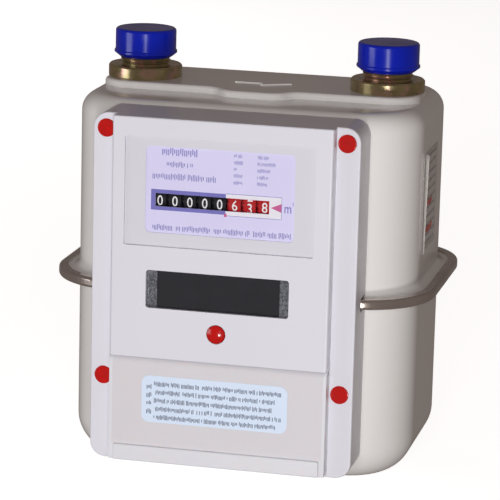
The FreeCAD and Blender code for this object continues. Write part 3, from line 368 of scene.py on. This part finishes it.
violet_ink = finish("violet_screen_ink", "#7B78C6", 0.2, 0.002, 0.5, shade=0.9, patch_mm=5)
white_ink = finish("white_screen_ink", "#F2F0FA", 0.2, 0.002, 0.5, shade=0.96, patch_mm=5)
pink_ink = finish("pink_screen_ink", "#D0619B", 0.2, 0.002, 0.5, shade=0.9, patch_mm=5)
faint_ink = finish("faint_violet_screen_ink", "#8380C4", 0.2, 0.002, 0.5, shade=0.9, patch_mm=5)
slot_x0, slot_x1, slot_z0, slot_z1 = -34.2, 24.2, 145.65, 152.35
unit_frame = [(-36.4, 2.0, slot_z1, 154.35), (-36.4, 2.0, 143.8, slot_z0), (-36.4, slot_x0, slot_z0, slot_z1)]
tenth_frame = [(2.0, 30.4, slot_z1, 154.4), (2.0, 30.4, 143.5, slot_z0), (slot_x1, 30.4, slot_z0, slot_z1)]
outline = [(2.0, 30.6, 154.4, 154.65), (2.0, 30.6, 143.25, 143.5), (30.4, 30.6, 143.5, 154.4)]
heading = mark_row(-31.0, -12.2, 171.9, 175.7, 0.0)
small_print = [mark_row(-28.6, -14.8, 166.0, 169.0, 0.1), mark_row(-35.8, -3.3, 159.6, 162.8),
               mark_row(-35.4, 36.1, 133.6, 136.6, 0.12)]
table = [mark_row(x0, x1, z, z + 1.9, 0.05) for x0, ends in ((5.8, (10.6, 10.6, 7.2, 10.2, 10.2)),
                                                             (17.8, (23.5, 26.9, 24.2, 23.6, 23.0)))
         for x1, z in zip(ends, (173.0, 169.6, 166.3, 162.9, 159.5))]
for name, areas, material, deep in (("unit_frame_print", unit_frame, violet_ink, ink),
                                    ("tenth_frame_print", tenth_frame, white_ink, ink),
                                    ("tenth_frame_outline", outline, faint_ink, 1.5 * ink),
                                    ("heading_print", heading, violet_ink, ink),
                                    ("decimal_mark_print", [(1.3, 2.6, 142.7, 144.4)], pink_ink, 2 * ink),
                                    ("small_print", np.concatenate(small_print + table), faint_ink, ink)):
    printed = ink_blocks(name, areas, card_y, material, deep)
    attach(printed, "meter_case")


def figure_mesh(text, tall, narrow=1.0, bold=0.004):
    """Outline of a figure of a given height in millimetres, centred, with a film's thickness, as a bmesh."""
    words = bpy.data.curves.new("figure", "FONT")
    words.body, words.extrude, words.offset, words.resolution_u = text, 0.01, bold, 3
    holder = bpy.data.objects.new("figure", words)
    bpy.context.collection.objects.link(holder)
    bpy.context.view_layer.update()
    flat = bpy.data.meshes.new_from_object(holder.evaluated_get(bpy.context.evaluated_depsgraph_get()))
    bpy.data.objects.remove(holder)
    shape = bmesh.new()
    shape.from_mesh(flat)
    bmesh.ops.remove_doubles(shape, verts=shape.verts, dist=1e-5)
    place = np.array([vertex.co[:] for vertex in shape.verts])
    low, high = place.min(axis=0), place.max(axis=0)
    place = (place - (low + high) / 2) * tall / (high[1] - low[1]) * [narrow, 1.0, 1.0]
    place[:, 2] = np.sign(place[:, 2]) * ink / 2
    for vertex, spot in zip(shape.verts, place.tolist()):
        vertex.co = spot
    return shape


def finished_figure(name, verts, faces, material):
    """Mesh object from points in millimetres and faces, with one material."""
    mesh = bpy.data.meshes.new(name)
    mesh.from_pydata((verts * MM).tolist(), [], faces)
    mesh.materials.append(material)
    piece = bpy.data.objects.new(name, mesh)
    bpy.context.collection.objects.link(piece)
    return piece


for name, text, tall, x, z in (("unit_letter_print", "m", 3.2, 33.7, 148.5),
                               ("unit_power_print", "3", 1.7, 36.2, 151.5)):
    shape = figure_mesh(text, tall, 0.76)
    verts = np.array([vertex.co[:] for vertex in shape.verts])
    faces = [[vertex.index for vertex in face.verts] for face in shape.faces]
    verts = np.stack([x + verts[:, 0], card_y - ink / 2 - verts[:, 2], z + verts[:, 1]], axis=-1)
    letter = finished_figure(name, verts, faces, violet_ink)
    shape.free()
    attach(letter, "meter_case")
pointer_x, pointer_z = np.array([25.0, 30.4, 30.4]), np.array([149.0, 146.9, 151.3])
pointer_y = np.repeat([card_y - 2 * ink, card_y], 3)
pointer_verts = np.stack([np.tile(pointer_x, 2), pointer_y, np.tile(pointer_z, 2)], axis=-1)
pointer = finished_figure("pointer_print", pointer_verts,
                          [(0, 1, 2), (5, 4, 3), (0, 3, 4, 1), (1, 4, 5, 2), (2, 5, 3, 0)], pink_ink)
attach(pointer, "meter_case")

# ---- Figure drums -------------------------------------------------------------------------------
# Eight polystyrene drums on one steel shaft, five black for whole units and three red for
# fractions, with the figures 0 to 9 hot stamped in white round each rim.
drum_y, drum_z, drum_r, drum_pitch, drum_middle = -80.0, 149.0, 10.0, 7.66, -31.99
reading = (-0.08, -0.08, -0.08, -0.08, -0.08, 5.92, 2.75, 7.92)
figure_tall, figure_narrow = 5.2, 0.86
black_drum = finish("black_moulded_polystyrene", "#0A0A12", 0.4, 0.005, 0.35, IOR=1.59)
red_drum = finish("red_moulded_polystyrene", "#B5171C", 0.4, 0.005, 0.35, IOR=1.59)
stamped = finish("white_hot_stamped_foil", "#F4F4F6", 0.3, 0.003, 0.45, shade=0.95, patch_mm=4)


def strips(shape, levels):
    """Cuts a flat figure along level lines, so that it can bend round a drum."""
    for height in levels:
        every = shape.verts[:] + shape.edges[:] + shape.faces[:]
        bmesh.ops.bisect_plane(shape, geom=every, plane_co=(0, height, 0), plane_no=(0, 1, 0))
    shape.verts.index_update()
    verts = np.array([vertex.co[:] for vertex in shape.verts])
    faces = [[vertex.index for vertex in face.verts] for face in shape.faces]
    shape.free()
    return verts, faces


figures = [strips(figure_mesh(str(value), figure_tall, figure_narrow), np.linspace(-2.2, 2.2, 9))
           for value in range(10)]


def drum_figures(number, shown):
    """Figures wrapped on a drum: across stays X, up becomes an angle of height over radius, and each figure
    stands 36 degrees below the one before it, turned so that the reading faces forwards."""
    middle = drum_middle + (number - 1) * drum_pitch
    verts, faces, count = [], [], 0
    for value, (flat, cells) in enumerate(figures):
        angle = (value - shown) * math.pi / 5 - flat[:, 1] / drum_r
        radius = drum_r + 0.005 + ink / 2 + flat[:, 2]
        verts.append(np.stack([middle + flat[:, 0], drum_y - radius * np.cos(angle),
                               drum_z - radius * np.sin(angle)], axis=-1))
        faces += [[index + count for index in cell] for cell in cells]
        count += len(flat)
    return finished_figure("drum_%d_figures" % number, np.concatenate(verts), faces, stamped)


for number, shown in enumerate(reading, start=1):
    coat(black_drum if number <= 5 else red_drum, "drum_%d" % number)
    ring = drum_figures(number, shown)
    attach(ring, "drum_%d" % number)

# ---- Index works --------------------------------------------------------------------------------
# Black ABS frame with two cheeks, a ground steel shaft, and acetal pinions and gears left in their
# natural milky colour so that they run without oil.
black_abs = finish("black_moulded_abs", "#1A1A1C", 0.35, 0.008, 0.42, IOR=1.54)
coat(black_abs, "index_frame", "card_reader")
ground_steel = finish("ground_steel_rod", "#C4C5C7", 0.25, 0.004, 0.2, shade=0.85, patch_mm=6,
                      stretch=(0.3, 3.0, 3.0), Metallic=1.0)
coat(ground_steel, "drum_shaft", "drive_shaft")
acetal = finish("natural_acetal", "#E4E0D2", 0.8, 0.006, 0.38, shade=0.95, patch_mm=9, IOR=1.48,
                Subsurface_Weight=0.15, Subsurface_Scale=0.002)
coat(acetal, "carry_pinions", "input_gear", "crank")
nickel = finish("bright_nickel_plate", "#C9C3B6", 0.3, 0.004, 0.16, shade=0.88, patch_mm=6, Metallic=1.0)
coat(nickel, "shaft_gland", "battery_contacts")

# ---- Display ------------------------------------------------------------------------------------
# A liquid crystal glass with a dark polariser over its working area; at each end a strip of the
# moulded bezel shows, flecked grey.
display_glass = finish("dark_polariser_film_on_glass", "#3B3B40", 5.0, 0.002, 0.12, uneven=0.04, shade=0.8,
                       patch_mm=10, IOR=1.5)
display_x, film_half_x = -1.15, 31.65


def outwards(tree, middle, limit):
    """Output that is 1 where a point is further than a limit from a middle plane, both X in millimetres."""
    axes = add(tree, "SeparateXYZ", (), {"Vector": add(tree, "TexCoord").outputs["Object"]})
    away = add(tree, "Math", {"operation": "SUBTRACT", 1: middle * MM}, {0: axes.outputs["X"]})
    size = add(tree, "Math", {"operation": "ABSOLUTE"}, {0: away.outputs["Value"]})
    past = add(tree, "Math", {"operation": "GREATER_THAN", 1: limit * MM}, {0: size.outputs["Value"]})
    return past.outputs["Value"]


bezel = display_glass.node_tree
fleck = add(bezel, "TexNoise", {"Scale": 1 / (0.7 * MM), "Detail": 2.0},
            {"Vector": add(bezel, "TexCoord").outputs["Object"]})
fleck_tone = add(bezel, "MapRange", {"From Min": 0.4, "From Max": 0.6}, {"Value": fleck.outputs["Fac"]})
fleck_tint = add(bezel, "Mix", {"data_type": "RGBA", 6: linear("#6A6C72"), 7: linear("#A9ACB4")},
                 {0: fleck_tone.outputs["Result"]})
bezel_side = outwards(bezel, display_x, film_half_x)
bezel_tint = add(bezel, "Mix", {"data_type": "RGBA"},
                 {0: bezel_side, 6: current_tint(display_glass), 7: fleck_tint.outputs[2]})
retint(display_glass, bezel_tint.outputs[2])
coat(display_glass, "lcd_module")

# ---- Circuit board ------------------------------------------------------------------------------
# Glass epoxy with green solder mask over etched tracks, and black moulded packages on its face.
board_face = -84.9
board = finish("green_solder_mask_on_glass_epoxy", "#0F5A2E", 0.5, 0.01, 0.35, IOR=1.5)
tracks = board.node_tree
track_axes = add(tracks, "SeparateXYZ", (), {"Vector": add(tracks, "TexCoord").outputs["Object"]})
track_plane = add(tracks, "CombineXYZ", (), {"X": track_axes.outputs["X"], "Y": track_axes.outputs["Z"]})
track_lines = add(tracks, "TexBrick", {"Scale": 1 / (6.0 * MM), "Mortar Size": 0.05,
                                       "Color1": linear("#0F5A2E"), "Color2": linear("#126334"),
                                       "Mortar": linear("#2A8A50")},
                  {"Vector": track_plane.outputs["Vector"]})
proud = add(tracks, "Math", {"operation": "LESS_THAN", 1: board_face * MM}, {0: track_axes.outputs["Y"]})
board_tint = add(tracks, "Mix", {"data_type": "RGBA", 7: linear("#1D1D1F")},
                 {0: proud.outputs["Value"], 6: track_lines.outputs["Color"]})
retint(board, board_tint.outputs[2])
coat(board, "circuit_board")

# ---- Button spring ------------------------------------------------------------------------------
# Hard drawn stainless wire of 0.4 mm wound to 4.6 mm outside, four turns between the button's
# flange and the board's switch, on the button's axis at X -1.05, Z 82.4.
spring_r, wire_r, spring_turns, spring_front, spring_back = 2.12, 0.2, 4.0, -89.95, -86.25


def coil(name, centre_x, centre_z):
    """Round wire swept on a helix: along the wire the angle grows evenly and the depth with it, and round the
    wire a circle lies in the plane of the radius and the axis."""
    along = np.linspace(0, 2 * np.pi * spring_turns, 160)[:, None]
    around = np.linspace(0, 2 * np.pi, 10, endpoint=False)[None, :]
    radius = spring_r + wire_r * np.cos(around)
    depth = spring_front + (spring_back - spring_front) * along / along.max() + wire_r * np.sin(around)
    points = np.stack([centre_x + radius * np.cos(along), depth, centre_z + radius * np.sin(along)], axis=-1)
    caps = points[[0, -1]].mean(axis=1, keepdims=True).repeat(points.shape[1], axis=1)
    return grid_piece(name, np.concatenate([caps[:1], points, caps[1:]]), along=True)


spring_wire = finish("drawn_stainless_wire", "#B5B6B8", 0.2, 0.004, 0.24, Metallic=1.0)
spring = coil("button_spring_coil", -1.05, 82.4)
spring.data.materials.append(spring_wire)
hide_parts("button_spring")
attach(spring, "meter_case")
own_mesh(spring)

# ---- Cells --------------------------------------------------------------------------------------
# Four alkaline cells in printed shrink sleeves, dark green with a copper coloured end band, and a
# bare plated steel pole.
cell_band_x, cell_pole_x = 39.0, 50.9
sleeve = finish("printed_shrink_sleeve", "#14532D", 1.2, 0.006, 0.25, uneven=0.05, IOR=1.5)
wrap = sleeve.node_tree
pole = outwards(wrap, 0.0, cell_pole_x)
band_tint = add(wrap, "Mix", {"data_type": "RGBA", 6: linear("#14532D"), 7: linear("#A8662F")},
                {0: outwards(wrap, 0.0, cell_band_x)})
pole_tint = add(wrap, "Mix", {"data_type": "RGBA", 7: linear("#C9C9C9")}, {0: pole, 6: band_tint.outputs[2]})
retint(sleeve, pole_tint.outputs[2])
wrap.links.new(pole, wrap.nodes["Principled BSDF"].inputs["Metallic"])
coat(sleeve, "battery_cells")

# ---- Flap ---------------------------------------------------------------------------------------
# Polycarbonate moulding frosted behind its face, so it looks warm grey, with polished clear edges;
# a thin finger lip runs along its foot and an instruction label is stuck across it. The clear side
# edges and the lip carry a painted highlight: a lighter, bluer colour than the face.
frosted = finish("frosted_polycarbonate", "#DCD9DE", 0.5, 0.006, 0.34, shade=0.97, patch_mm=40, IOR=1.585,
                 Subsurface_Weight=0.1, Subsurface_Scale=0.003)
flap_clear_x, flap_lip_z = 54.6, 21.3
clear = frosted.node_tree
flap_axes = add(clear, "SeparateXYZ", (), {"Vector": add(clear, "TexCoord").outputs["Object"]})
# Painted highlight: the colour is lighter past the clear edges' X and below the top of the lip.
flap_lip = add(clear, "Math", {"operation": "LESS_THAN", 1: flap_lip_z * MM}, {0: flap_axes.outputs["Z"]})
flap_painted_highlight_mask = add(clear, "Math", {"operation": "MAXIMUM"},
                  {0: outwards(clear, 0.0, flap_clear_x), 1: flap_lip.outputs["Value"]})
flap_highlight_tint = add(clear, "Mix", {"data_type": "RGBA", 7: linear("#E2E2E8")},
                {0: flap_painted_highlight_mask.outputs["Value"], 6: current_tint(frosted)})
retint(frosted, flap_highlight_tint.outputs[2])
coat(frosted, "flap")

label_x, label_z, label_half_x, label_half_z, label_corner = -1.2, 46.1, 37.8, 12.2, 4.0
label_face, label_thick = -93.1, 0.12


def rounded_label(name):
    """Sheet with rounded corners: the outline is four quarter circles whose centres stand in from the
    corners, drawn at the back and at the front and shrunk to the middle of each, which closes both sides."""
    angle = np.linspace(0, 2 * np.pi, 96, endpoint=False)
    across = np.sign(np.cos(angle)) * (label_half_x - label_corner) + label_corner * np.cos(angle)
    up = np.sign(np.sin(angle)) * (label_half_z - label_corner) + label_corner * np.sin(angle)
    size = np.array([0.0, 1.0, 1.0, 0.0])[:, None]
    depth = label_face - label_thick * np.array([0.0, 0.0, 1.0, 1.0])[:, None]
    points = np.stack([label_x + across * size, depth + 0 * angle, label_z + up * size], axis=-1)
    piece = grid_piece(name, points, along=True)
    piece.data.shade_flat()
    return piece


label_paper = finish("pale_blue_coated_label_paper", "#DCEBFF", 0.3, 0.004, 0.4, shade=0.98, patch_mm=20)
label_ink = finish("dark_blue_label_ink", "#121A44", 0.2, 0.002, 0.5, shade=0.9, patch_mm=5)
label = rounded_label("flap_label")
label.data.materials.append(label_paper)
line_top, line_pitch = 54.2, 4.35
label_rows = [mark_row(-32.5 + 0.8 * (row % 2), 33.6 - 2.4 * (row % 3), line_top - line_pitch * row - 1.3,
                       line_top - line_pitch * row + 1.2, 0.1) for row in range(5)]
label_side = [mark_row(-36.4, -33.6, z, z + 2.6, 0.0) for z in (51.2, 46.9, 42.6, 38.3)]
label_print = ink_blocks("flap_label_print", np.concatenate(label_rows + label_side),
                         label_face - label_thick, label_ink)
for piece in (label, label_print):
    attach(piece, "flap")

# ---- Side label ---------------------------------------------------------------------------------
# A paper inspection label stuck to the right side of the case; its front edge has lifted and
# curls away from the enamel.
side_x, side_y0, side_y1, side_z0, side_z1 = 90.05, -26.0, 14.0, 116.0, 168.0
side_curl, curl_width, side_thick = 1.6, 6.0, 0.12


def curled_label(name):
    """Sheet on the case's side: it stands off by the curl times the square of how near the front edge it is,
    within the curl's width and more towards the top, and a second layer further out gives it thickness."""
    y = np.linspace(side_y0, side_y1, 60)[:, None]
    z = np.linspace(side_z0, side_z1, 12)[None, :]
    near_edge = np.clip((side_y0 + curl_width - y) / curl_width, 0.0, 1.0)
    corner = 1.0 + 0.6 * (z - side_z0) / (side_z1 - side_z0)
    lift = side_x + side_curl * corner * near_edge ** 2
    inner = np.stack([lift + 0 * z, y + 0 * z + 0 * lift, z + 0 * y], axis=-1)
    outer = inner + np.array([side_thick, 0.0, 0.0])
    loop = np.concatenate([inner, outer[:, ::-1]], axis=1)
    ends = loop[[0, -1]].mean(axis=1, keepdims=True).repeat(loop.shape[1], axis=1)
    return grid_piece(name, np.concatenate([ends[:1], loop, ends[1:]]), along=True)


sticker_paper = finish("white_label_paper", "#DAD6D2", 0.3, 0.006, 0.55, shade=0.92, patch_mm=14)
sticker = curled_label("side_label")
sticker.data.materials.append(sticker_paper)
side_red = finish("red_stamp_ink", "#A8433A", 0.2, 0.002, 0.5, shade=0.85, patch_mm=4)
side_grey = finish("grey_print_ink", "#7C7A7A", 0.2, 0.002, 0.5, shade=0.9, patch_mm=4)
stamp_rows = [mark_row(-16.0, 4.0, z, z + 4.2, 0.15) for z in (124.0, 138.0)]
form_rows = [mark_row(-18.0, 11.0, z, z + 1.8, 0.12) for z in np.arange(118.5, 166.0, 4.6)]
side_marks = [ink_blocks("side_label_stamp", np.concatenate(stamp_rows), 0.0, side_red, 2 * ink),
              ink_blocks("side_label_print", np.concatenate(form_rows), 0.0, side_grey, ink)]
for marks in side_marks:
    flat = np.empty(len(marks.data.vertices) * 3)
    marks.data.vertices.foreach_get("co", flat)
    x, y, z = flat.reshape(-1, 3).T
    turned = np.stack([(side_x + side_thick) * MM - y, x, z], axis=-1)
    marks.data.vertices.foreach_set("co", turned.ravel())
for piece in (sticker, *side_marks):
    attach(piece, "meter_case")

# ---- Measuring unit -----------------------------------------------------------------------------
# Two chambers moulded in glass filled nylon, dull grey with a faint fibre figure; the ported table
# and the riser are the same stuff.
nylon = finish("glass_filled_nylon", "#5A5B5F", 0.9, 0.03, 0.6, shade=0.85, patch_mm=10,
               stretch=(1.0, 1.0, 0.3), IOR=1.53)
coat(nylon, "chamber_body", "chamber_covers", "valve_table", "outlet_pipe", "valve_body")
# Phenolic slides, lapped flat: dark brown with a satin rubbed face.
phenolic = finish("lapped_phenolic", "#4A2A17", 0.3, 0.008, 0.4, shade=0.8, patch_mm=5)
coat(phenolic, "front_slide_valve", "back_slide_valve")
# Stamped aluminium discs: mill finish with rolling lines.
stamped_aluminium = finish("stamped_aluminium_sheet", "#C2C3C6", 0.4, 0.008, 0.33, shade=0.85, patch_mm=12,
                           stretch=(0.1, 1.0, 2.0), Metallic=1.0)
coat(stamped_aluminium, "front_disc", "back_disc")
# Zinc plated steel rods, arms and links.
linkage_steel = finish("plated_steel_linkage", "#B4B3AC", 0.5, 0.01, 0.3, shade=0.8, patch_mm=8, Metallic=1.0)
coat(linkage_steel, "front_flag_rod", "back_flag_rod", "front_long_link", "back_long_link",
     "front_short_link", "back_short_link", "valve_screw", "valve_motor")
# Rubber coated polyester cloth, black, with its weave a third of a millimetre wide just showing.
cloth = finish("rubber_coated_polyester_cloth", "#1E1C1A", 0.33, 0.05, 0.7, uneven=0.08,
               Specular_IOR_Level=0.3)
coat(cloth, "front_diaphragm", "back_diaphragm", "valve_disc")
